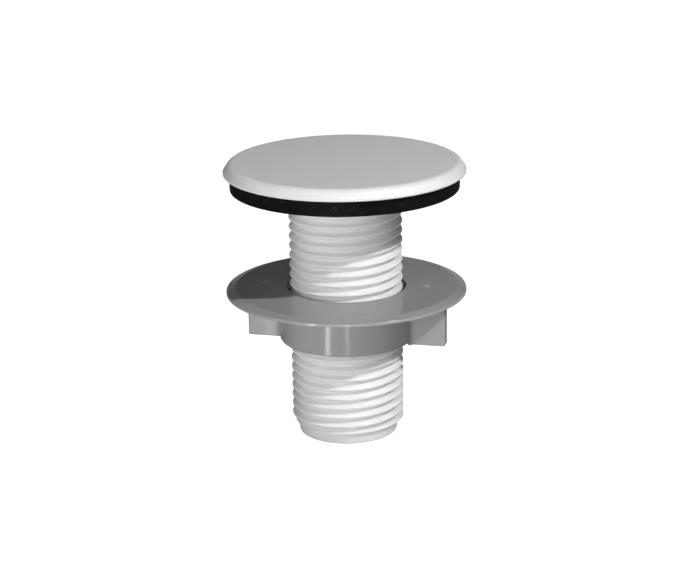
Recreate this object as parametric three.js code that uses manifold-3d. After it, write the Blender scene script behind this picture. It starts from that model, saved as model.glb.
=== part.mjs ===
// Blanking thru-hull fitting: a disc-headed threaded plug, a sealing gasket under the disc
// and a flanged back nut with two wings. Millimetres, +Z up. The origin is the centre of the
// stem's lower end, and Z runs along the stem towards the disc. The nut's wings lie along X.

import * as THREE from 'three';
import { mergeVertices } from 'three/addons/utils/BufferGeometryUtils.js';
import Module from 'manifold-3d';

// Thread, a G 1/2 parallel pipe thread, right-handed.
const threadDiameter = 20.955;
const threadsPerInch = 14;
const threadDepthPerPitch = 0.640327;
const threadCrestPerPitch = 1 / 6;
const threadStartPerPitch = 0.295;

// Threaded plug: stem and disc in one moulding, hollow from below.
const stemLength = 50.0;
const stemWall = 2.0;
const capWall = 2.5;
const leadInHeight = 2.6;
const leadInRelief = 0.15;
const leadInChamfer = 1.1;
const neckHeight = 2.2;
const neckRelief = 0.3;
const capDiameter = 44.5;
const capThickness = 2.0;
const capLipHeight = 0.45;
const capEdgeWidth = 1.2;
const capUndersideEdge = 0.2;

// Sealing gasket.
const gasketSetback = 1.15;
const gasketThickness = 3.0;
const gasketBoreClearance = 0.3;
const gasketEdge = 0.2;

// Flanged back nut.
const clampGap = 18.7;
const threadClearance = 0.28;
const flangeDiameter = 44.6;
const flangeBevelWidth = 1.6;
const flangeBevelHeight = 0.5;
const flangeRimHeight = 0.5;
const flangeUnderEdge = 0.2;
const flangeThickness = 2.4;
const nutHeight = 10.1;
const hubWall = 2.0;
const hubEdge = 0.4;
const entryClearance = 0.35;
const entryDepth = 0.9;
const wingInset = 3.45;
const wingThickness = 2.6;
const wingDrop = 0.55;
const wingGusset = 1.0;
const wingRoot = 1.0;

// How finely round shapes are divided.
const sidesPerTurn = 24;
const discSides = 48;
const boreSides = 32;
const edgeSteps = 3;

// Worked out from the sizes above.
const inch = 25.4;
const threadPitch = inch / threadsPerInch;
const crestRadius = threadDiameter / 2;
const rootRadius = crestRadius - threadDepthPerPitch * threadPitch;
const boreRadius = rootRadius - stemWall;
const capTop = stemLength + capThickness;
const gasketBottom = stemLength - gasketThickness;
const nutTop = gasketBottom - clampGap;
const nutBottom = nutTop - nutHeight;
const hubRadius = crestRadius + hubWall;
const flangeRadius = flangeDiameter / 2;
const overrun = 1.5;

const wasm = await Module();
wasm.setup();

function toSolid(geometry) {
  const bare = geometry.clone();
  bare.deleteAttribute('normal');
  bare.deleteAttribute('uv');
  const merged = mergeVertices(bare);
  const vertProperties = new Float32Array(merged.attributes.position.array);
  const triVerts = new Uint32Array(merged.index.array);
  return new wasm.Manifold(new wasm.Mesh({ numProp: 3, vertProperties, triVerts }));
}

function toGeometry(solid) {
  const mesh = solid.getMesh();
  const geometry = new THREE.BufferGeometry();
  geometry.setAttribute('position', new THREE.BufferAttribute(mesh.vertProperties, 3));
  geometry.setIndex(new THREE.BufferAttribute(mesh.triVerts, 1));
  geometry.computeVertexNormals();
  return geometry;
}

// A solid of revolution about Z. The outline is a list of [radius, height], going up.
function turned(outline, sides) {
  const points = outline.map(([radius, height]) => new THREE.Vector2(radius, height));
  const geometry = new THREE.LatheGeometry(points, sides);
  geometry.rotateX(Math.PI / 2);
  return geometry;
}

function cylinder(radius, bottom, top, sides) {
  return turned([[0, bottom], [radius, bottom], [radius, top], [0, top]], sides);
}

// The thread's outline along one pitch: crest flat, flank, root flat, flank.
function threadOutline(crest, root) {
  const flat = threadCrestPerPitch * threadPitch;
  const flank = threadPitch / 2 - flat;
  return [
    { radius: crest, height: 0 },
    { radius: crest, height: flat },
    { radius: root, height: flat + flank },
    { radius: root, height: 2 * flat + flank },
  ];
}

function outlineRadius(outline, height) {
  const wrapped = ((height % threadPitch) + threadPitch) % threadPitch;
  const next = [...outline.slice(1), { radius: outline[0].radius, height: threadPitch }];
  const i = next.findIndex((point) => wrapped <= point.height);
  const share = (wrapped - outline[i].height) / (next[i].height - outline[i].height);
  return outline[i].radius + share * (next[i].radius - outline[i].radius);
}

// A closed right-handed threaded rod between two heights. Every column of points climbs one
// side of the rod, and the next column is the same one turned and raised by its share of a
// pitch. Points beyond an end are drawn together on that end. limit(height) caps the radius.
function threadedRod({ crest, root, bottom, top, limit = () => Infinity }) {
  const outline = threadOutline(crest, root);
  const positions = [];
  const index = [];
  const columnAt = (j) => {
    const angle = (2 * Math.PI * j) / sidesPerTurn;
    const rise = threadPitch * (threadStartPerPitch + j / sidesPerTurn);
    return { angle, rise };
  };
  const addPoint = (angle, radius, height) => {
    const capped = Math.min(radius, limit(height));
    positions.push(capped * Math.cos(angle), capped * Math.sin(angle), height);
    return positions.length / 3 - 1;
  };
  const endRing = (height) => Array.from({ length: sidesPerTurn }, (_, j) => {
    const { angle, rise } = columnAt(j);
    return addPoint(angle, outlineRadius(outline, height - rise), height);
  });
  const bottomRing = endRing(bottom);
  const topRing = endRing(top);
  const made = new Map();
  const point = (row, column) => {
    const turns = Math.floor(column / sidesPerTurn);
    const j = column - turns * sidesPerTurn;
    const m = row + turns * outline.length;
    const step = Math.floor(m / outline.length);
    const corner = outline[m - step * outline.length];
    const { angle, rise } = columnAt(j);
    const height = rise + step * threadPitch + corner.height;
    if (height <= bottom) return bottomRing[j];
    if (height >= top) return topRing[j];
    const key = `${m},${j}`;
    if (!made.has(key)) made.set(key, addPoint(angle, corner.radius, height));
    return made.get(key);
  };
  const addTriangle = (a, b, c) => {
    if (a !== b && b !== c && c !== a) index.push(a, b, c);
  };
  const firstRow = outline.length * (Math.floor(bottom / threadPitch) - 3);
  const lastRow = outline.length * (Math.ceil(top / threadPitch) + 2);
  for (let row = firstRow; row < lastRow; row += 1) {
    for (let column = 0; column < sidesPerTurn; column += 1) {
      const a = point(row, column);
      const b = point(row, column + 1);
      const c = point(row + 1, column + 1);
      const d = point(row + 1, column);
      addTriangle(a, b, c);
      addTriangle(a, c, d);
    }
  }
  positions.push(0, 0, bottom, 0, 0, top);
  const topCentre = positions.length / 3 - 1;
  const bottomCentre = topCentre - 1;
  for (let j = 0; j < sidesPerTurn; j += 1) {
    const k = (j + 1) % sidesPerTurn;
    addTriangle(bottomCentre, bottomRing[k], bottomRing[j]);
    addTriangle(topCentre, topRing[j], topRing[k]);
  }
  const geometry = new THREE.BufferGeometry();
  geometry.setAttribute('position', new THREE.Float32BufferAttribute(positions, 3));
  geometry.setIndex(index);
  return geometry;
}

// A quarter-round edge from a vertical side at [radius, low] to a flat face at height high.
function roundedEdge(radius, low, high, width) {
  return Array.from({ length: edgeSteps + 1 }, (_, i) => {
    const angle = (Math.PI / 2) * (i / edgeSteps);
    const inset = width * (1 - Math.cos(angle));
    return [radius - inset, low + (high - low) * Math.sin(angle)];
  });
}

// Lead-in band, plain neck and disc, as one core that the thread is joined to.
function plugCore() {
  const capRadius = capDiameter / 2;
  const leadInRadius = rootRadius - leadInRelief;
  const neckRadius = rootRadius - neckRelief;
  return turned([
    [0, 0],
    [leadInRadius, 0],
    [leadInRadius, leadInHeight + overrun],
    [neckRadius, leadInHeight + 2 * overrun],
    [neckRadius, stemLength],
    [capRadius - capUndersideEdge, stemLength],
    [capRadius, stemLength + capUndersideEdge],
    ...roundedEdge(capRadius, stemLength + capLipHeight, capTop, capEdgeWidth),
    [0, capTop],
  ], discSides);
}

// Near each end the thread's crest tapers down to the lead-in band or the neck.
function stemLimit(height) {
  const start = rootRadius + (height - leadInHeight) * (crestRadius - rootRadius) / leadInChamfer;
  const end = rootRadius + (stemLength - neckHeight - height);
  return Math.max(rootRadius, Math.min(start, end));
}

function threadedPlug() {
  const thread = toSolid(threadedRod({
    crest: crestRadius,
    root: rootRadius,
    bottom: leadInHeight,
    top: stemLength - neckHeight,
    limit: stemLimit,
  }));
  const core = toSolid(plugCore());
  const bore = toSolid(cylinder(boreRadius, -overrun, capTop - capWall, boreSides));
  return toGeometry(thread.add(core).subtract(bore));
}

function sealingGasket() {
  const outer = capDiameter / 2 - gasketSetback;
  const inner = crestRadius + gasketBoreClearance;
  return turned([
    [inner, gasketBottom],
    [outer - gasketEdge, gasketBottom],
    [outer, gasketBottom + gasketEdge],
    [outer, stemLength - gasketEdge],
    [outer - gasketEdge, stemLength],
    [inner, stemLength],
    [inner, gasketBottom],
  ], discSides);
}

// Flange with a bevelled rim, coned underneath down to the round hub.
function nutBlank() {
  const rimTop = nutTop - flangeBevelHeight;
  const rimBottom = rimTop - flangeRimHeight;
  return turned([
    [0, nutBottom],
    [hubRadius - hubEdge, nutBottom],
    [hubRadius, nutBottom + hubEdge],
    [hubRadius, nutTop - flangeThickness],
    [flangeRadius - flangeUnderEdge, rimBottom],
    [flangeRadius, rimBottom + flangeUnderEdge / 2],
    [flangeRadius, rimTop],
    [flangeRadius - flangeBevelWidth, nutTop],
    [0, nutTop],
  ], discSides);
}

// One wing, a flat plate in the XZ plane from the hub to its tip, with a gusset into the
// flange. side is 1 or -1.
function wing(side) {
  const tip = flangeRadius - wingInset;
  const top = nutTop - flangeThickness / 2;
  const gussetTop = nutTop - flangeThickness;
  const shape = new THREE.Shape([
    new THREE.Vector2(side * (hubRadius - wingRoot), top),
    new THREE.Vector2(side * (hubRadius - wingRoot), nutBottom + wingRoot),
    new THREE.Vector2(side * (hubRadius - wingRoot / 2), nutBottom - wingDrop),
    new THREE.Vector2(side * tip, nutBottom - wingDrop),
    new THREE.Vector2(side * tip, gussetTop),
    new THREE.Vector2(side * (tip + wingGusset), top),
  ]);
  const geometry = new THREE.ExtrudeGeometry(shape, {
    depth: wingThickness,
    bevelEnabled: false,
  });
  geometry.rotateX(Math.PI / 2);
  geometry.translate(0, wingThickness / 2, 0);
  return geometry;
}

function flangedBacknut() {
  const tap = toSolid(threadedRod({
    crest: crestRadius + threadClearance,
    root: rootRadius + threadClearance,
    bottom: nutBottom - overrun,
    top: nutTop + overrun,
  }));
  const entryRadius = crestRadius + threadClearance + entryClearance;
  const entries = [
    [nutBottom - overrun, nutBottom + entryDepth],
    [nutTop - entryDepth, nutTop + overrun],
  ];
  let solid = toSolid(nutBlank());
  for (const side of [1, -1]) {
    solid = solid.add(toSolid(wing(side)));
  }
  solid = solid.subtract(tap);
  for (const [low, high] of entries) {
    solid = solid.subtract(toSolid(cylinder(entryRadius, low, high, discSides)));
  }
  return toGeometry(solid);
}

function piece(name, geometry, color, roughness) {
  const material = new THREE.MeshStandardMaterial({ color, roughness, metalness: 0 });
  const mesh = new THREE.Mesh(geometry, material);
  mesh.name = name;
  return mesh;
}

const fitting = new THREE.Group();
fitting.add(
  piece('threaded_plug', threadedPlug(), 0xe8e8e6, 0.3),
  piece('sealing_gasket', sealingGasket(), 0x1c1c1c, 0.75),
  piece('flanged_backnut', flangedBacknut(), 0x8c8c8c, 0.4),
);

export default fitting;
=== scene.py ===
"""Finished surfaces of a closed-top thru hull fitting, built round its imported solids.

A white disc-headed plug with a threaded stem, a black sealing gasket under the disc and a
grey flanged back nut with two wings. Lengths are in metres, Z runs up the stem's axis.
"""

import math

import bpy
import numpy as np
from bpy.props import FloatProperty, FloatVectorProperty, IntProperty, PointerProperty
from mathutils import Matrix, Vector


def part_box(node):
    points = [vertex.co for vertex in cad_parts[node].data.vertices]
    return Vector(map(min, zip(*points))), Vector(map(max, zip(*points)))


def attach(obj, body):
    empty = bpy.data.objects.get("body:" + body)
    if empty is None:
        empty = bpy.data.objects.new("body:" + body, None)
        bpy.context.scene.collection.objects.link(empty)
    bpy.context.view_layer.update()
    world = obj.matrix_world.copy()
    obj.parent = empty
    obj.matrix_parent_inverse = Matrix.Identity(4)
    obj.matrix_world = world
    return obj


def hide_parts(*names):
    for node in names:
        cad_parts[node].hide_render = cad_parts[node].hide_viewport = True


bl_info = {
    "name": "Thru Hull Fitting",
    "version": (1, 0, 0),
    "blender": (4, 5, 0),
    "location": "3D View > Sidebar > Thru Hull",
    "description": "Builds the plug, gasket and back nut of a closed-top thru hull fitting",
    "category": "Object",
}

MM = 0.001
INCH = 25.4 * MM
TAU = 2 * math.pi

# The 55 degree pipe thread form, as shares of the pitch.
THREAD_DEPTH = 0.640327
THREAD_NOSE = 0.137329

# Steps round a quarter of an edge, a fillet and a rounded corner.
EDGE_STEPS = 4
FILLET_STEPS = 6
CORNER_STEPS = 5
SHARP_ANGLE = math.radians(35.0)

# How much dust covers, how much scuffs roughen, how far edges pale, partly as rubbed wear and
# partly as a painted edge highlight, and how far rubbed edges polish.
DUST_COVER = 0.5
SCUFF_ROUGHEN = 0.04
RUB_AND_HIGHLIGHT_BLEND = 0.35
RUB_AND_HIGHLIGHT_PALER = 1.05
RUB_POLISH = 0.06
# How far the spots over the gate pips pale, and how wide they spread: partly gate marks, partly
# a painted highlight spot.
GATE_AND_HIGHLIGHT_BLEND = 0.4
GATE_AND_HIGHLIGHT_PALER = 1.5
GATE_AND_HIGHLIGHT_SPREAD = 1.4

# Width, height and distance of each light in metres, then its azimuth and elevation in degrees.
LIGHTS = {
    "key": (0.011, 0.011, 0.4, 62.0, 43.0),
    "strip": (0.03, 0.36, 1.0, -17.0, 8.7),
    "front": (0.07, 0.30, 1.0, 14.0, 7.0),
    "side": (0.35, 0.2, 1.0, -61.0, 10.0),
}
# Azimuth of each strip lying on the floor, in degrees, and its share of the glint power.
GLINTS = {"glint_left": (-17.0, 1.0), "glint_middle": (14.0, 0.25)}
GLINT_WIDTH, GLINT_LENGTH, GLINT_DISTANCE = 7 * MM, 250 * MM, 165 * MM
GLINT_HEIGHT = 1 * MM
# Height of the direction at which the surroundings have faded to their overhead brightness.
SKY_FADE = 0.3
SENSOR_WIDTH = 36.0
CAMERA_SHIFT = (-0.0021, 0.0048)

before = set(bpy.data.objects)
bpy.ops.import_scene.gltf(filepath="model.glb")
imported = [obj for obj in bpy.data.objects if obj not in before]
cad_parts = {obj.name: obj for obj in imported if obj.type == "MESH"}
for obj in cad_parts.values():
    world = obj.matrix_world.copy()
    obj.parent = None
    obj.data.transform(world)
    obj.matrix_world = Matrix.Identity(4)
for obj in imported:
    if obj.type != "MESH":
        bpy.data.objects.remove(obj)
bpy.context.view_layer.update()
PLUG_LOW, PLUG_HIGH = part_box("threaded_plug")
GASKET_LOW, GASKET_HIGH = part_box("sealing_gasket")
NUT_LOW, NUT_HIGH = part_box("flanged_backnut")


# Sizes and colours that a user would change ---------------------------------------------


def length(name, description, millimetres):
    return FloatProperty(
        name=name, description=description, default=millimetres * MM, min=0.0, unit="LENGTH"
    )


def degrees(name, description, value):
    return FloatProperty(
        name=name, description=description, default=math.radians(value), subtype="ANGLE"
    )


def number(name, description, value):
    return FloatProperty(name=name, description=description, default=value)


def share(name, description, value):
    return FloatProperty(
        name=name, description=description, default=value, min=0.0, max=1.0, subtype="FACTOR"
    )


def colour(name, description, value):
    return FloatVectorProperty(
        name=name, description=description, default=value, size=3, min=0.0, max=1.0,
        subtype="COLOR",
    )


class ThreadSizes(bpy.types.PropertyGroup):
    """Right-handed pipe thread shared by the stem and the nut."""

    crest_diameter: length("Crest diameter", "Diameter over the stem's crests", 20.955)
    turns_per_inch: FloatProperty(
        name="Turns per inch", description="How many turns the thread makes in an inch",
        default=14.0, min=1.0,
    )
    flank_angle: degrees("Flank angle", "Angle between a flank and a square cut", 27.5)
    start: share("Start", "Share of a pitch from the stem's end to a crest at +X", 0.378)
    clearance: length("Clearance", "Radial gap between the stem's and the nut's thread", 0.28)
    columns: IntProperty(
        name="Columns", description="Steps round one turn", default=160, min=24
    )
    rows: IntProperty(name="Rows", description="Steps along one pitch", default=18, min=6)


class PlugSizes(bpy.types.PropertyGroup):
    """Disc and hollow stem."""

    disc_thickness: length("Disc thickness", "Thickness of the disc at its edge", 2.0)
    face_inset: length("Face inset", "How far the flat face stops inside the edge", 1.0)
    face_edge: length("Face edge", "Radius of the edge round the flat face", 1.5)
    lip_height: length("Lip height", "Height of the plain lip under the tapered edge", 0.45)
    lip_step: length("Lip step", "How far the lip stands proud of the taper", 0.12)
    lip_edge: length("Lip edge", "Radius of the lip's lower edge", 0.18)
    neck_height: length("Neck height", "Plain neck above the thread", 2.2)
    neck_relief: length("Neck relief", "How far the neck is inside the thread's root", 0.2)
    lead_height: length("Lead-in height", "Height of the plain band at the stem's end", 2.15)
    lead_rise: length("Lead-in rise", "Height over which the first crest grows", 0.5)
    lead_step: length("Lead-in step", "How far the first crest starts outside the band", 0.45)
    lead_edge: length("Lead-in edge", "Height of the step above the band", 0.12)
    lead_radius: length("Lead-in radius", "Radius at the top of the plain band", 9.4)
    end_radius: length("End radius", "Radius at the bottom of the plain band", 9.15)
    end_edge: length("End edge", "Radius of the stem's lower outer edge", 0.3)
    wall: length("Wall", "Stem wall under the thread's root", 2.0)
    disc_wall: length("Disc wall", "Solid thickness over the bore", 2.5)
    bore_edge: length("Bore edge", "Radius of the bore's mouth and blind end", 0.5)


class GasketSizes(bpy.types.PropertyGroup):
    """Rubber ring under the disc."""

    bore_clearance: length("Bore clearance", "Radial gap round the stem's crests", 0.3)
    edge: length("Edge", "Radius of the ring's outer edges", 0.15)
    bulge: length("Bulge", "How far the ring's side swells out at mid height", 0.03)


class NutSizes(bpy.types.PropertyGroup):
    """Flanged back nut with two wings."""

    bevel_width: length("Bevel width", "Width of the bevel round the flange's face", 1.7)
    bevel_height: length("Bevel height", "Drop of the bevel round the flange's face", 0.5)
    rim_height: length("Rim height", "Height of the flange's plain rim", 0.5)
    rim_edge: length("Rim edge", "Radius of the flange's upper rim edges", 0.25)
    under_edge: length("Under edge", "Radius of the flange's lower rim edge", 0.05)
    flange_thickness: length("Flange thickness", "Thickness of the flange at the hub", 2.4)
    hub_wall: length("Hub wall", "Hub wall outside the thread's crests", 2.0)
    hub_height: length("Hub height", "Height of the nut without the wings' drop", 10.1)
    hub_edge: length("Hub edge", "Radius of the hub's lower edge", 0.35)
    hub_fillet: length("Hub fillet", "Radius between the hub and the flange", 0.6)
    entry_clearance: length("Entry clearance", "Gap of the plain entries round the crests", 0.35)
    entry_depth: length("Entry depth", "Depth of the plain entries at both ends", 0.9)
    wing_inset: length("Wing inset", "How far the wings stop inside the flange's edge", 3.45)
    wing_thickness: length("Wing thickness", "Thickness of a wing", 2.6)
    wing_edge: length("Wing edge", "Radius of the wings' upright edges", 0.3)
    wing_under_edge: length("Wing under edge", "Radius of the wings' lower edges", 0.24)
    wing_root: length("Wing root", "Radius between a wing and the hub", 1.1)
    wing_fillet: length("Wing fillet", "Radius between a wing and the flange", 0.6)
    pip_radius: length("Pip radius", "Radius of the gate pips on the flange's face", 1.0)
    pip_height: length("Pip height", "Height of the gate pips", 0.07)
    pip_distance: length("Pip distance", "Distance of the gate pips from the axis", 15.0)
    pip_angle: degrees("Pip angle", "Turn of the gate pips away from the wings", 7.0)


class FinishSettings(bpy.types.PropertyGroup):
    """Colours and gloss of the three materials."""

    white: colour("White plastic", "Colour of the plug", (0.83, 0.83, 0.825))
    white_roughness: share("White roughness", "Roughness of the plug", 0.45)
    black: colour("Black rubber", "Colour of the gasket", (0.004, 0.004, 0.004))
    black_roughness: share("Black roughness", "Roughness of the gasket", 0.6)
    grey: colour("Grey plastic", "Colour of the back nut", (0.345, 0.345, 0.345))
    grey_roughness: share("Grey roughness", "Roughness of the back nut", 0.14)


class StageSettings(bpy.types.PropertyGroup):
    """Floor, lights and camera."""

    floor_colour: colour("Floor colour", "Colour of the floor", (0.49, 0.49, 0.49))
    floor_size: length("Floor size", "Half the side of the floor", 4000.0)
    camera_azimuth: degrees("Camera azimuth", "Camera's turn from the -Y side to +X", 14.0)
    camera_elevation: degrees("Camera elevation", "Camera's angle above the floor", 17.5)
    camera_roll: degrees("Camera roll", "Clockwise roll of the camera", 0.944)
    camera_distance: length("Camera distance", "From the camera to its target", 380.0)
    target_height: length("Target height", "Height of the camera's target", 27.0)
    lens: FloatProperty(
        name="Lens", description="Focal length", default=106.54, unit="CAMERA"
    )
    key_power: number("Key power", "Watts of the key light, high on the right", 1.08)
    strip_power: number("Strip power", "Watts of the tall strip light, front left", 3.0)
    front_power: number("Front power", "Watts of the strip light beside the camera", 1.5)
    side_power: number("Side power", "Watts of the soft light on the left", 0.45)
    glint_power: number("Glint power", "Watts of the brighter floor strip", 0.036)
    floor_glow: number("Floor glow", "Extra whiteness of the floor seen directly", 0.97)
    horizon: number("Horizon", "Brightness of the surroundings at the horizon", 0.36)
    overhead: number("Overhead", "Brightness of the surroundings overhead", 0.04)


# Meshes ----------------------------------------------------------------------------------


def arc(centre, start, end, steps):
    """Points of the arc about centre from its radius vector start to its radius vector end."""
    turn = start.angle(end)
    points = []
    for i in range(steps + 1):
        t = i / steps
        mixed = (start * math.sin((1 - t) * turn) + end * math.sin(t * turn)) / math.sin(turn)
        points.append(tuple(centre + mixed))
    return points


def corner(previous, point, following, radius):
    """Points of the arc that rounds the corner at point to the given radius."""
    point = Vector(point)
    back = (Vector(previous) - point).normalized()
    ahead = (Vector(following) - point).normalized()
    half = back.angle(ahead) / 2
    reach = radius / math.tan(half)
    centre = point + (back + ahead).normalized() * (radius / math.sin(half))
    start = point + back * reach - centre
    end = point + ahead * reach - centre
    return arc(centre, start, end, CORNER_STEPS)


def rounded(points, closed=False):
    """An outline of (radius, height) points with each (r, z, edge) corner rounded to edge."""
    count = len(points)
    outline = []
    for i, point in enumerate(points):
        inner = closed or 0 < i < count - 1
        if inner and len(point) == 3 and point[2] > 0:
            previous, following = points[i - 1][:2], points[(i + 1) % count][:2]
            outline += corner(previous, point[:2], following, point[2])
        else:
            outline.append(point[:2])
    return outline


def turned_ring(radius, height, columns):
    """Points of one level ring, starting at +X."""
    angles = TAU * np.arange(columns) / columns
    return np.stack(
        [radius * np.cos(angles), radius * np.sin(angles), np.full(columns, height)], axis=1
    )


class Shell:
    """Collects the points and faces of one closed surface round the Z axis."""

    def __init__(self, columns):
        self.columns = columns
        self.points = []
        self.faces = []
        self.last = None
        self.first = None

    def add_points(self, points):
        start = len(self.points)
        self.points += [tuple(p) for p in points]
        return list(range(start, len(self.points)))

    def join(self, ring):
        """Joins a ring of point numbers to the ring before it."""
        if self.last is not None:
            for j in range(self.columns):
                k = (j + 1) % self.columns
                self.faces.append((self.last[j], self.last[k], ring[k], ring[j]))
        else:
            self.first = ring
        self.last = ring

    def turn(self, outline):
        for radius, height in outline:
            self.join(self.add_points(turned_ring(radius, height, self.columns)))

    def close_start(self, height):
        centre = self.add_points([(0.0, 0.0, height)])[0]
        for j in range(self.columns):
            self.faces.append((centre, self.first[(j + 1) % self.columns], self.first[j]))

    def close_end(self, height):
        centre = self.add_points([(0.0, 0.0, height)])[0]
        for j in range(self.columns):
            self.faces.append((centre, self.last[j], self.last[(j + 1) % self.columns]))

    def close_loop(self):
        self.join(self.first)

    def thread(self, radius_at, pitch, start, low, high, rows, inward=False):
        """A helical surface from low to high. radius_at(turns, height) gives its radius, and
        every row of faces climbs one pitch each time it goes round. An inward surface faces
        the axis and is walked from its top end to its bottom end."""
        step = pitch / rows
        tolerance = step * 0.2

        def make(j, height):
            angle = TAU * j / self.columns
            radius = radius_at(j / self.columns, height)
            return (radius * math.cos(angle), radius * math.sin(angle), height)

        low_ring = self.add_points([make(j, low) for j in range(self.columns)])
        high_ring = self.add_points([make(j, high) for j in range(self.columns)])
        self.join(high_ring if inward else low_ring)
        made = {}

        def point(row, j):
            if j == self.columns:
                row, j = row + rows, 0
            height = start * pitch + pitch * j / self.columns + row * step
            if height <= low + tolerance:
                return low_ring[j]
            if height >= high - tolerance:
                return high_ring[j]
            if (row, j) not in made:
                made[row, j] = self.add_points([make(j, height)])[0]
            return made[row, j]

        first = math.floor((low - pitch * (start + 1)) / step) - 1
        last = math.ceil((high - pitch * start) / step) + 1
        for row in range(first, last):
            for j in range(self.columns):
                quad = [point(row, j), point(row, j + 1), point(row + 1, j + 1),
                        point(row + 1, j)]
                face = [p for i, p in enumerate(quad) if p != quad[i - 1]]
                if len(set(face)) >= 3:
                    self.faces.append(tuple(reversed(face) if inward else face))
        self.last = low_ring if inward else high_ring

    def mesh(self, name):
        mesh = bpy.data.meshes.new(name)
        mesh.from_pydata(self.points, [], self.faces)
        mesh.validate()
        mesh.update()
        return mesh


def rounded_thread(settings, offset):
    """radius_at for a thread of rounded 55 degree form, moved out by offset."""
    pitch = INCH / settings.turns_per_inch
    flank = settings.flank_angle
    crest = settings.crest_diameter / 2 + offset
    depth = THREAD_DEPTH * pitch
    nose = THREAD_NOSE * pitch
    reach = nose * math.cos(flank)

    def radius_at(turns, height):
        along = ((height / pitch) - settings.start - turns + 0.5) % 1.0 - 0.5
        x = abs(along) * pitch
        if x < reach:
            return crest - nose + math.sqrt(nose * nose - x * x)
        far = pitch / 2 - x
        if far < reach:
            return crest - depth + nose - math.sqrt(nose * nose - far * far)
        return crest - nose * (1 - math.sin(flank)) - (x - reach) / math.tan(flank)

    return radius_at, pitch, crest, crest - depth


def finish_piece(name, mesh, material, body, node):
    mesh.shade_smooth()
    mesh.set_sharp_from_angle(angle=SHARP_ANGLE)
    mesh.materials.clear()
    mesh.materials.append(material)
    piece = bpy.data.objects.new(name, mesh)
    bpy.context.scene.collection.objects.link(piece)
    weighted = piece.modifiers.new("Even normals", "WEIGHTED_NORMAL")
    weighted.keep_sharp = True
    weighted.weight = 60
    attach(piece, body)
    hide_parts(node)
    return piece


def temporary(mesh):
    piece = bpy.data.objects.new("temporary", mesh)
    bpy.context.scene.collection.objects.link(piece)
    return piece


def united(base, tools):
    """The mesh of base joined with every tool mesh as one closed body."""
    body = temporary(base)
    helpers = [temporary(tool) for tool in tools]
    for helper in helpers:
        joined = body.modifiers.new("Join", "BOOLEAN")
        joined.operation = "UNION"
        joined.solver = "EXACT"
        joined.object = helper
    bpy.context.view_layer.update()
    graph = bpy.context.evaluated_depsgraph_get()
    result = bpy.data.meshes.new_from_object(body.evaluated_get(graph))
    for piece in [body, *helpers]:
        mesh = piece.data
        bpy.data.objects.remove(piece)
        bpy.data.meshes.remove(mesh)
    return result


# The plug ----------------------------------------------------------------------------------


def plug_mesh(threads, sizes):
    """Bore, stem end, lead-in band, thread, neck, underside, lip, taper and face."""
    radius_at, pitch, crest, root = rounded_thread(threads, 0.0)
    top, disc_radius = PLUG_HIGH.z, PLUG_HIGH.x
    under = top - sizes.disc_thickness
    bore = root - sizes.wall
    bore_top = top - sizes.disc_wall
    thread_low = PLUG_LOW.z + sizes.lead_height
    thread_high = under - sizes.neck_height
    neck = root - sizes.neck_relief
    face_radius = disc_radius - sizes.face_inset
    lip_top = under + sizes.lip_height

    start_radius = sizes.lead_radius + sizes.lead_step

    def limited(turns, height):
        lead = (height - thread_low) / sizes.lead_rise
        grown = start_radius + lead * (crest - start_radius)
        run_out = max(root, root + thread_high - height)
        return min(radius_at(turns, height), grown, run_out)

    shell = Shell(threads.columns)
    inside = rounded([
        (0.0, bore_top),
        (bore, bore_top, sizes.bore_edge),
        (bore, PLUG_LOW.z, sizes.bore_edge),
        (sizes.end_radius, PLUG_LOW.z, sizes.end_edge),
        (sizes.lead_radius, thread_low - sizes.lead_edge),
    ])
    shell.turn(inside[1:])
    shell.thread(limited, pitch, threads.start, thread_low, thread_high, threads.rows)
    outside = rounded([
        (neck, thread_high),
        (neck, under, sizes.neck_relief),
        (disc_radius, under, sizes.lip_edge),
        (disc_radius, lip_top, sizes.lip_step / 2),
        (disc_radius - sizes.lip_step, lip_top + sizes.lip_step / 2),
        (face_radius, top, sizes.face_edge),
        (0.0, top),
    ])
    shell.turn(outside[:-1])
    shell.close_start(bore_top)
    shell.close_end(top)
    return shell.mesh("plug_body")


# The gasket --------------------------------------------------------------------------------


def gasket_mesh(threads, sizes):
    """A ring with rounded outer edges and a slightly swollen side."""
    inner = threads.crest_diameter / 2 + sizes.bore_clearance
    low, high, outer = GASKET_LOW.z, GASKET_HIGH.z, GASKET_HIGH.x
    shell = Shell(threads.columns)
    shell.turn(rounded([
        (inner, low, sizes.edge / 2),
        (outer - sizes.bulge, low, sizes.edge),
        (outer, (low + high) / 2),
        (outer - sizes.bulge, high, sizes.edge),
        (inner, high, sizes.edge / 2),
    ], closed=True))
    shell.close_loop()
    return shell.mesh("gasket_ring")


# The back nut ------------------------------------------------------------------------------


def nut_levels(sizes):
    """Heights shared by the flange, hub and wings."""
    top = NUT_HIGH.z
    rim_top = top - sizes.bevel_height
    return {
        "top": top,
        "rim_top": rim_top,
        "rim_bottom": rim_top - sizes.rim_height,
        "under": top - sizes.flange_thickness,
        "hub_bottom": top - sizes.hub_height,
        "wing_bottom": NUT_LOW.z,
    }


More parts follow.
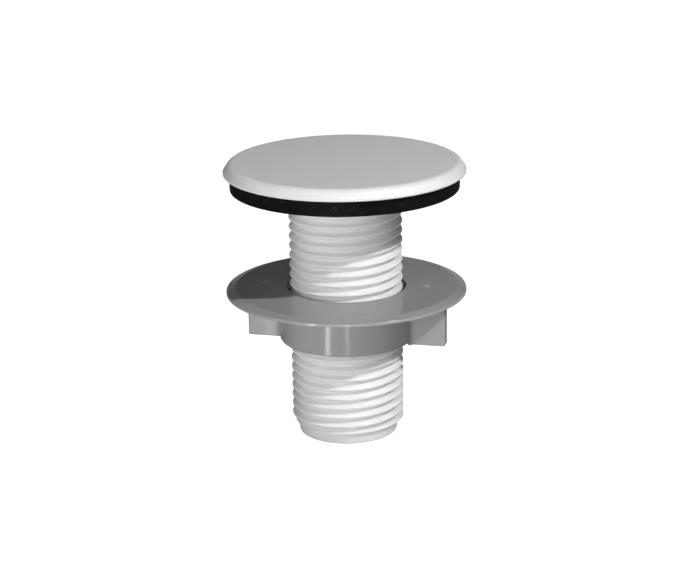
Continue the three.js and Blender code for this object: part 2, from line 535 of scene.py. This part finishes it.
def nut_round_mesh(threads, sizes):
    """Hub and flange turned round the axis, threaded inside between two plain entries, with
    a short slope from each entry into the thread."""
    radius_at, pitch, crest, root = rounded_thread(threads, threads.clearance)
    level = nut_levels(sizes)
    hub = threads.crest_diameter / 2 + sizes.hub_wall
    rim = NUT_HIGH.x
    entry = crest + sizes.entry_clearance
    slope = (entry - root) / 4
    shell = Shell(threads.columns)
    shell.turn(rounded([
        (entry, level["hub_bottom"] + sizes.entry_depth),
        (entry, level["hub_bottom"], sizes.hub_edge / 2),
        (hub, level["hub_bottom"], sizes.hub_edge),
        (hub, level["under"], sizes.hub_fillet),
        (rim, level["rim_bottom"], sizes.under_edge),
        (rim, level["rim_top"], sizes.rim_edge),
        (rim - sizes.bevel_width, level["top"], sizes.rim_edge),
        (entry, level["top"], sizes.hub_edge / 2),
        (entry, level["top"] - sizes.entry_depth),
    ]))
    shell.thread(
        radius_at, pitch, threads.start,
        level["hub_bottom"] + sizes.entry_depth + slope,
        level["top"] - sizes.entry_depth - slope,
        threads.rows, inward=True,
    )
    shell.close_loop()
    return shell.mesh("nut_round")


def wing_outline(hub, tip, sizes):
    """Plan of one wing along +X: a plate that flares into the hub, with rounded corners.
    Its inner end stops a third of the way into the hub's wall."""
    half, flare = sizes.wing_thickness / 2, sizes.wing_root
    flare_x = math.sqrt((hub + flare) ** 2 - (half + flare) ** 2)
    touch = Vector((flare_x, half + flare)) * (hub / (hub + flare))
    side = corner((tip, 0.0), (tip, half), (0.0, half), sizes.wing_edge)
    centre = Vector((flare_x, half + flare))
    side += arc(centre, Vector((0.0, -flare)), touch - centre, FILLET_STEPS)
    side.append((touch.x - sizes.hub_wall / 3, touch.y))
    mirrored = [(x, -y) for x, y in reversed(side)]
    return [Vector(point) for point in side + mirrored]


def outline_normals(outline):
    normals = []
    for i, point in enumerate(outline):
        following = outline[(i + 1) % len(outline)]
        along = (following - outline[i - 1]).normalized()
        normals.append(Vector((along.y, -along.x)))
    return normals


def wing_mesh(threads, sizes):
    """One wing from its rounded lower edge up to the fillet under the flange. Inside the hub
    its lower face rises, so that it meets the hub's wall above the hub's lower edge."""
    level = nut_levels(sizes)
    hub = threads.crest_diameter / 2 + sizes.hub_wall
    rim, tip = NUT_HIGH.x, NUT_HIGH.x - sizes.wing_inset
    outline = wing_outline(hub, tip, sizes)
    normals = outline_normals(outline)
    fillet, edge = sizes.wing_fillet, sizes.wing_under_edge
    count = len(outline)
    inner = (count // 2 - 1, count // 2)
    lift = level["hub_bottom"] + sizes.hub_edge - level["wing_bottom"]

    def under_flange(point):
        out = (point.length - hub) / (rim - hub)
        return level["under"] + out * (level["rim_bottom"] - level["under"])

    sections = []
    for i in range(EDGE_STEPS + 1):
        turn = math.pi / 2 * i / EDGE_STEPS
        inset = edge * (1 - math.sin(turn))
        height = level["wing_bottom"] + edge * (1 - math.cos(turn))
        sections.append([
            (outline[j] - normals[j] * inset, height + lift * (j in inner)) for j in range(count)
        ])
    for i in range(FILLET_STEPS + 1):
        turn = math.pi / 2 * i / FILLET_STEPS
        flare = fillet * (1 - math.cos(turn))
        moved = [p + n * flare for p, n in zip(outline, normals)]
        gap = fillet * (1 - math.sin(turn))
        sections.append([(p, under_flange(p) - gap) for p in moved])
    sections.append([(p, z + fillet / 2) for p, z in sections[-1]])
    points = [(p.x, p.y, z) for section in sections for p, z in section]
    slope = (inner[1] + 1, inner[1], inner[0], inner[0] - 1)
    faces = [tuple(j for j in reversed(range(count)) if j not in inner), slope]
    for i in range(len(sections) - 1):
        for j in range(count):
            k = (j + 1) % count
            low, high = i * count, (i + 1) * count
            faces.append((low + j, low + k, high + k, high + j))
    last = (len(sections) - 1) * count
    faces.append(tuple(range(last, last + count)))
    mesh = bpy.data.meshes.new("wing")
    mesh.from_pydata(points, [], faces)
    mesh.update()
    return mesh


def pip_mesh(sizes):
    """A low dome on the flange's face, over a wing."""
    shell = Shell(32)
    top, sunk = NUT_HIGH.z, sizes.pip_height
    dome = [(sizes.pip_radius * math.cos(a), top + sizes.pip_height * math.sin(a))
            for a in np.linspace(0.0, 1.35, 7)]
    shell.turn([(sizes.pip_radius, top - sunk), *dome])
    shell.close_start(top - sunk)
    shell.close_end(top + sizes.pip_height)
    mesh = shell.mesh("pip")
    mesh.transform(Matrix.Translation((sizes.pip_distance, 0.0, 0.0)))
    mesh.transform(Matrix.Rotation(sizes.pip_angle, 4, "Z"))
    return mesh


def nut_mesh(threads, sizes):
    half_turn = Matrix.Rotation(math.pi, 4, "Z")
    tools = []
    for part in (wing_mesh(threads, sizes), pip_mesh(sizes)):
        opposite = part.copy()
        opposite.transform(half_turn)
        tools += [part, opposite]
    mesh = united(nut_round_mesh(threads, sizes), tools)
    mesh.name = "backnut_body"
    return mesh


# Shader node groups ------------------------------------------------------------------------


def add(tree, kind, values=None, **settings):
    """A new node with its settings made and its sockets filled or linked."""
    node = tree.nodes.new(kind)
    for name, value in settings.items():
        setattr(node, name, value)
    for socket, value in (values or {}).items():
        if isinstance(value, bpy.types.NodeSocket):
            tree.links.new(value, node.inputs[socket])
        else:
            node.inputs[socket].default_value = value
    return node


def maths(tree, operation, first, second=0.0):
    node = add(tree, "ShaderNodeMath", {0: first, 1: second}, operation=operation)
    return node.outputs[0]


def ranged(tree, value, low, high, new_low=0.0, new_high=1.0):
    """value taken from low..high to new_low..new_high, held at the ends."""
    return add(tree, "ShaderNodeMapRange", {
        "Value": value, "From Min": low, "From Max": high, "To Min": new_low, "To Max": new_high,
    }).outputs[0]


def new_group(name, inputs, outputs):
    """An empty node group with number inputs, given as name: default, and number outputs."""
    tree = bpy.data.node_groups.new(name, "ShaderNodeTree")
    for label, default in inputs.items():
        socket = tree.interface.new_socket(label, in_out="INPUT", socket_type="NodeSocketFloat")
        socket.default_value = default
    for label in outputs:
        tree.interface.new_socket(label, in_out="OUTPUT", socket_type="NodeSocketFloat")
    return tree, add(tree, "NodeGroupInput").outputs, add(tree, "NodeGroupOutput").inputs


def place(tree, coordinates, scale):
    """Object coordinates stretched by a different amount along each axis."""
    return add(
        tree, "ShaderNodeMapping", {"Vector": coordinates, "Scale": scale}
    ).outputs[0]


def moulding_marks():
    """Slow streaks where the plastic flowed, and the fine unevenness of a moulded skin."""
    tree, given, result = new_group(
        "moulding_marks", {"Flow Scale": 90.0, "Skin Scale": 900.0}, ["Flow", "Skin"]
    )
    where = add(tree, "ShaderNodeTexCoord").outputs["Object"]
    stretched = place(tree, where, (1.0, 1.0, 0.45))
    flow = add(tree, "ShaderNodeTexNoise", {
        "Vector": stretched, "Scale": given["Flow Scale"], "Detail": 2.0, "Distortion": 0.5,
    })
    skin = add(tree, "ShaderNodeTexNoise", {
        "Vector": where, "Scale": given["Skin Scale"], "Detail": 3.0, "Roughness": 0.6,
    })
    tree.links.new(ranged(tree, flow.outputs[0], 0.3, 0.7), result["Flow"])
    tree.links.new(skin.outputs[0], result["Skin"])
    return tree


def handling_scuffs():
    """Thin short scuffs from handling, gathered in patches."""
    tree, given, result = new_group(
        "handling_scuffs", {"Scale": 260.0, "Amount": 0.5}, ["Mask"]
    )
    where = add(tree, "ShaderNodeTexCoord").outputs["Object"]
    lines = add(tree, "ShaderNodeTexNoise", {
        "Vector": place(tree, where, (1.0, 7.0, 1.0)), "Scale": given["Scale"],
        "Detail": 4.0, "Distortion": 0.8,
    })
    patches = add(tree, "ShaderNodeTexNoise", {"Vector": where, "Scale": 120.0, "Detail": 1.0})
    thin = ranged(tree, lines.outputs[0], 0.60, 0.70)
    patchy = ranged(tree, patches.outputs[0], 0.45, 0.65)
    both = maths(tree, "MULTIPLY", thin, patchy)
    tree.links.new(maths(tree, "MULTIPLY", both, given["Amount"]), result["Mask"])
    return tree


def specks():
    """Small scattered spots of uneven size, such as dust."""
    tree, given, result = new_group("specks", {"Scale": 1500.0, "Amount": 0.3}, ["Mask"])
    where = add(tree, "ShaderNodeTexCoord").outputs["Object"]
    cells = add(tree, "ShaderNodeTexVoronoi", {"Vector": where, "Scale": given["Scale"]})
    parts = add(tree, "ShaderNodeSeparateColor", {0: cells.outputs["Color"]}).outputs
    chance = maths(tree, "LESS_THAN", parts[0], given["Amount"])
    size = ranged(tree, parts[1], 0.0, 1.0, 0.12, 0.38)
    depth = maths(tree, "SUBTRACT", size, cells.outputs["Distance"])
    spot = ranged(tree, depth, 0.0, 0.08)
    tree.links.new(maths(tree, "MULTIPLY", spot, chance), result["Mask"])
    return tree


def edge_polish():
    """Mask of the outer edges, where a moulded part is rubbed smoother and painted paler, partly
    as wear and partly as a painted edge highlight.
    """
    tree, given, result = new_group("edge_polish", {"Low": 0.52, "High": 0.62}, ["Mask"])
    pointed = add(tree, "ShaderNodeNewGeometry").outputs["Pointiness"]
    ramp = add(tree, "ShaderNodeMapRange", {
        "Value": pointed, "From Min": given["Low"], "From Max": given["High"],
    })
    tree.links.new(ramp.outputs[0], result["Mask"])
    return tree


def gate_marks():
    """Pale round spots on the flange's face, over the two gate pips: partly gate marks, partly a
    painted highlight spot.
    """
    tree, given, result = new_group(
        "gate_marks", {"Distance": 15.0 * MM, "Turn": 0.122, "Radius": 1.3 * MM}, ["Mask"]
    )
    where = add(tree, "ShaderNodeTexCoord").outputs["Object"]
    turned = add(tree, "ShaderNodeVectorRotate", {
        "Vector": where, "Angle": maths(tree, "MULTIPLY", given["Turn"], -1.0),
    }, rotation_type="Z_AXIS").outputs[0]
    x, y, _ = add(tree, "ShaderNodeSeparateXYZ", {0: turned}).outputs
    along = maths(tree, "SUBTRACT", maths(tree, "ABSOLUTE", x), given["Distance"])
    squares = [maths(tree, "MULTIPLY", side, side) for side in (along, y)]
    away = maths(tree, "SQRT", maths(tree, "ADD", *squares))
    inside = maths(tree, "SUBTRACT", 1.0, maths(tree, "DIVIDE", away, given["Radius"]))
    tree.links.new(ranged(tree, inside, 0.0, 0.6), result["Mask"])
    return tree


# Materials ---------------------------------------------------------------------------------


def group_outputs(tree, maker, **values):
    """Outputs of the node group built by maker, placed in tree with its inputs set."""
    group = bpy.data.node_groups.get(maker.__name__) or maker()
    sockets = {name.replace("_", " ").title(): value for name, value in values.items()}
    node = tree.nodes.new("ShaderNodeGroup")
    node.node_tree = group
    for name, value in sockets.items():
        node.inputs[name].default_value = value
    return node.outputs


def blended(tree, factor, first, second):
    """Colour mixed from first to second by factor."""
    node = add(tree, "ShaderNodeMix", data_type="RGBA")
    for index, value in ((0, factor), (6, first), (7, second)):
        if isinstance(value, bpy.types.NodeSocket):
            tree.links.new(value, node.inputs[index])
        else:
            node.inputs[index].default_value = value
    return node.outputs[2]


def shade(colour, factor):
    return (*[min(1.0, part * factor) for part in colour], 1.0)


def new_material(name):
    material = bpy.data.materials.new(name)
    material.use_nodes = True
    shader = material.node_tree.nodes["Principled BSDF"]
    return material, material.node_tree, shader


def moulded(name, colour, roughness, *, streak, skin_height, scuffs, dust, dust_colour):
    """Injection-moulded plastic: flow streaks, uneven skin, scuffs, dust and rubbed edges, whose
    paler colour is partly wear and partly a painted edge highlight.
    """
    material, tree, shader = new_material(name)
    marks = group_outputs(tree, moulding_marks)
    scuffed = group_outputs(tree, handling_scuffs, amount=scuffs)["Mask"]
    dusty = group_outputs(tree, specks, amount=dust)["Mask"]
    worn_and_lit_edges = group_outputs(tree, edge_polish)["Mask"]
    base = blended(tree, marks["Flow"], shade(colour, 1 - streak), shade(colour, 1 + streak))
    # Edges painted paler: partly rubbed wear, partly a painted highlight along the edges.
    worn_and_lit_share = maths(tree, "MULTIPLY", worn_and_lit_edges, RUB_AND_HIGHLIGHT_BLEND)
    lighter = blended(tree, worn_and_lit_share, base, shade(colour, RUB_AND_HIGHLIGHT_PALER))
    cover = maths(tree, "MULTIPLY", dusty, DUST_COVER)
    dusted = blended(tree, cover, lighter, (*dust_colour, 1.0))
    tree.links.new(dusted, shader.inputs["Base Color"])
    rough = ranged(tree, marks["Flow"], 0.0, 1.0, roughness - 0.01, roughness + 0.015)
    rough = maths(tree, "ADD", rough, maths(tree, "MULTIPLY", scuffed, SCUFF_ROUGHEN))
    rough = maths(tree, "SUBTRACT", rough, maths(tree, "MULTIPLY", worn_and_lit_edges, RUB_POLISH))
    tree.links.new(rough, shader.inputs["Roughness"])
    bump = add(tree, "ShaderNodeBump", {"Height": marks["Skin"], "Distance": skin_height})
    tree.links.new(bump.outputs[0], shader.inputs["Normal"])
    shader.inputs["IOR"].default_value = 1.5
    return material


def white_plastic(finish):
    """Slightly translucent white plastic, so that light softens inside the thread."""
    material = moulded(
        "white_plastic", finish.white, finish.white_roughness,
        streak=0.008, skin_height=0.008 * MM, scuffs=0.5, dust=0.006,
        dust_colour=(0.66, 0.65, 0.63),
    )
    shader = material.node_tree.nodes["Principled BSDF"]
    shader.inputs["Subsurface Weight"].default_value = 0.8
    shader.inputs["Subsurface Radius"].default_value = (1.0, 0.95, 0.9)
    shader.inputs["Subsurface Scale"].default_value = 1.1 * MM
    return material


def grey_plastic(finish, nut):
    """Satin grey plastic with a pale spot where the gates were, partly a gate mark and partly a
    painted highlight spot.
    """
    material = moulded(
        "grey_plastic", finish.grey, finish.grey_roughness,
        streak=0.02, skin_height=0.008 * MM, scuffs=0.8, dust=0.012,
        dust_colour=(0.42, 0.42, 0.42),
    )
    tree = material.node_tree
    base = tree.nodes["Principled BSDF"].inputs["Base Color"]
    gate = group_outputs(
        tree, gate_marks, distance=nut.pip_distance, turn=nut.pip_angle,
        radius=GATE_AND_HIGHLIGHT_SPREAD * nut.pip_radius,
    )["Mask"]
    plain = base.links[0].from_socket
    # Pale spots over the pips: partly gate marks, partly a painted highlight spot.
    gate_and_highlight_bloom = maths(tree, "MULTIPLY", gate, GATE_AND_HIGHLIGHT_BLEND)
    pale = blended(tree, gate_and_highlight_bloom, plain, shade(finish.grey, GATE_AND_HIGHLIGHT_PALER))
    tree.links.new(pale, base)
    return material


def black_rubber(finish):
    """Matt black rubber with fine pale specks and a grainy skin."""
    material, tree, shader = new_material("black_rubber")
    marks = group_outputs(tree, moulding_marks, flow_scale=140.0, skin_scale=2200.0)
    dusty = group_outputs(tree, specks, scale=2600.0, amount=0.16)["Mask"]
    worn_and_lit_edges = group_outputs(tree, edge_polish)["Mask"]
    base = blended(tree, marks["Flow"], shade(finish.black, 0.7), shade(finish.black, 1.5))
    # Edges painted paler: partly rubbed wear, partly a painted highlight along the edges.
    paler = blended(tree, maths(tree, "MULTIPLY", worn_and_lit_edges, 0.3), base, (0.03, 0.03, 0.03, 1.0))
    dusted = blended(tree, maths(tree, "MULTIPLY", dusty, 0.7), paler, (0.07, 0.07, 0.068, 1.0))
    tree.links.new(dusted, shader.inputs["Base Color"])
    rough = finish.black_roughness
    tree.links.new(
        ranged(tree, marks["Skin"], 0.3, 0.7, rough - 0.08, rough + 0.1),
        shader.inputs["Roughness"],
    )
    height = maths(tree, "ADD", marks["Skin"], maths(tree, "MULTIPLY", dusty, 0.6))
    bump = add(tree, "ShaderNodeBump", {"Height": height, "Distance": 0.03 * MM})
    tree.links.new(bump.outputs[0], shader.inputs["Normal"])
    shader.inputs["Specular IOR Level"].default_value = 0.08
    return material


# Stage -------------------------------------------------------------------------------------


def direction(azimuth, elevation):
    """Unit vector at an azimuth turned from the -Y side towards +X."""
    flat = math.cos(elevation)
    return Vector((
        math.sin(azimuth) * flat, -math.cos(azimuth) * flat, math.sin(elevation),
    ))


def look(thing, place_at, target):
    thing.location = place_at
    thing.rotation_euler = (target - place_at).to_track_quat("-Z", "Y").to_euler()


def make_floor(stage):
    half = stage.floor_size
    mesh = bpy.data.meshes.new("floor")
    corners = [(-half, -half, 0.0), (half, -half, 0.0), (half, half, 0.0), (-half, half, 0.0)]
    mesh.from_pydata(corners, [], [(0, 1, 2, 3)])
    material, tree, shader = new_material("floor_white")
    shader.inputs["Base Color"].default_value = (*stage.floor_colour, 1.0)
    shader.inputs["Roughness"].default_value = 0.08
    shader.inputs["Emission Color"].default_value = (1.0, 1.0, 1.0, 1.0)
    seen = add(tree, "ShaderNodeLightPath").outputs["Is Camera Ray"]
    glow = maths(tree, "MULTIPLY", seen, stage.floor_glow)
    tree.links.new(glow, shader.inputs["Emission Strength"])
    mesh.materials.append(material)
    floor = bpy.data.objects.new("floor", mesh)
    bpy.context.scene.collection.objects.link(floor)


def make_world(stage):
    """Surroundings that are bright at the horizon and dim overhead."""
    world = bpy.data.worlds.new("studio")
    bpy.context.scene.world = world
    world.use_nodes = True
    tree = world.node_tree
    ray = add(tree, "ShaderNodeTexCoord").outputs["Generated"]
    height = add(tree, "ShaderNodeSeparateXYZ", {0: ray}).outputs["Z"]
    strength = ranged(tree, height, 0.0, SKY_FADE, stage.horizon, stage.overhead)
    tree.links.new(strength, tree.nodes["Background"].inputs["Strength"])
    tree.nodes["Background"].inputs["Color"].default_value = (1.0, 1.0, 1.0, 1.0)


def rectangular_light(name, watts, width, height):
    lamp = bpy.data.lights.new(name, "AREA")
    lamp.shape = "RECTANGLE"
    lamp.size, lamp.size_y = width, height
    lamp.energy = watts
    light = bpy.data.objects.new(name, lamp)
    bpy.context.scene.collection.objects.link(light)
    return light


def make_light(name, watts, target):
    """One of the standing lights, facing the target."""
    width, height, distance, azimuth, elevation = LIGHTS[name]
    light = rectangular_light(name, watts, width, height)
    away = direction(math.radians(azimuth), math.radians(elevation))
    look(light, target + away * distance, target)


def make_glint(name, full_power):
    """A narrow strip on the floor, facing up, that a glossy upright side mirrors as a line."""
    azimuth, part = GLINTS[name]
    strip = rectangular_light(name, full_power * part, GLINT_WIDTH, GLINT_LENGTH)
    away = direction(math.radians(azimuth), 0.0)
    strip.location = away * GLINT_DISTANCE + Vector((0.0, 0.0, GLINT_HEIGHT))
    strip.rotation_euler = (math.pi, 0.0, math.radians(azimuth))
    strip.visible_camera = False


def make_camera(stage, target):
    data = bpy.data.cameras.new("camera")
    data.lens = stage.lens
    data.sensor_width = SENSOR_WIDTH
    data.shift_x, data.shift_y = CAMERA_SHIFT
    data.clip_start = 10 * MM
    camera = bpy.data.objects.new("camera", data)
    bpy.context.scene.collection.objects.link(camera)
    away = direction(stage.camera_azimuth, stage.camera_elevation)
    look(camera, target + away * stage.camera_distance, target)
    turned = camera.rotation_euler.to_matrix() @ Matrix.Rotation(-stage.camera_roll, 3, "Z")
    camera.rotation_euler = turned.to_euler()
    bpy.context.scene.camera = camera


# Operators ---------------------------------------------------------------------------------


class FITTING_OT_plug(bpy.types.Operator):
    """Builds the disc-headed plug with its threaded hollow stem"""

    bl_idname = "fitting.plug"
    bl_label = "Threaded plug"

    def execute(self, context):
        scene = context.scene
        mesh = plug_mesh(scene.hull_thread, scene.hull_plug)
        finish_piece(
            "plug_body", mesh, white_plastic(scene.hull_finish),
            "plug", "threaded_plug",
        )
        return {"FINISHED"}


class FITTING_OT_gasket(bpy.types.Operator):
    """Builds the rubber gasket under the disc"""

    bl_idname = "fitting.gasket"
    bl_label = "Sealing gasket"

    def execute(self, context):
        scene = context.scene
        mesh = gasket_mesh(scene.hull_thread, scene.hull_gasket)
        finish_piece(
            "gasket_ring", mesh, black_rubber(scene.hull_finish),
            "gasket", "sealing_gasket",
        )
        return {"FINISHED"}


class FITTING_OT_backnut(bpy.types.Operator):
    """Builds the flanged back nut with its thread, wings and gate pips"""

    bl_idname = "fitting.backnut"
    bl_label = "Flanged back nut"

    def execute(self, context):
        scene = context.scene
        mesh = nut_mesh(scene.hull_thread, scene.hull_nut)
        finish_piece(
            "backnut_body", mesh, grey_plastic(scene.hull_finish, scene.hull_nut),
            "backnut", "flanged_backnut",
        )
        return {"FINISHED"}


class FITTING_OT_stage(bpy.types.Operator):
    """Sets up the pale floor, the studio light and the camera"""

    bl_idname = "fitting.stage"
    bl_label = "Studio stage"

    def execute(self, context):
        stage = context.scene.hull_stage
        target = Vector((0.0, 0.0, stage.target_height))
        make_floor(stage)
        make_world(stage)
        for name in LIGHTS:
            make_light(name, getattr(stage, name + "_power"), target)
        for name in GLINTS:
            make_glint(name, stage.glint_power)
        make_camera(stage, target)
        context.scene.view_settings.view_transform = "Standard"
        return {"FINISHED"}


class FITTING_PT_panel(bpy.types.Panel):
    """Lists the fitting's settings and the buttons that build it"""

    bl_idname = "FITTING_PT_panel"
    bl_label = "Thru Hull Fitting"
    bl_space_type = "VIEW_3D"
    bl_region_type = "UI"
    bl_category = "Thru Hull"

    def draw(self, context):
        for owner, group in SETTINGS.items():
            box = self.layout.box()
            settings = getattr(context.scene, owner)
            for name in group.__annotations__:
                box.prop(settings, name)
        for operator in OPERATORS:
            self.layout.operator(operator.bl_idname)


# Registration ------------------------------------------------------------------------------


SETTINGS = {
    "hull_thread": ThreadSizes,
    "hull_plug": PlugSizes,
    "hull_gasket": GasketSizes,
    "hull_nut": NutSizes,
    "hull_finish": FinishSettings,
    "hull_stage": StageSettings,
}
OPERATORS = [FITTING_OT_plug, FITTING_OT_gasket, FITTING_OT_backnut, FITTING_OT_stage]


def register():
    for cls in [*SETTINGS.values(), *OPERATORS, FITTING_PT_panel]:
        bpy.utils.register_class(cls)
    for owner, group in SETTINGS.items():
        setattr(bpy.types.Scene, owner, PointerProperty(type=group))


def unregister():
    for owner in SETTINGS:
        delattr(bpy.types.Scene, owner)
    for cls in reversed([*SETTINGS.values(), *OPERATORS, FITTING_PT_panel]):
        bpy.utils.unregister_class(cls)


def main():
    register()
    bpy.ops.fitting.plug()
    bpy.ops.fitting.gasket()
    bpy.ops.fitting.backnut()
    bpy.ops.fitting.stage()


if __name__ == "__main__":
    main()
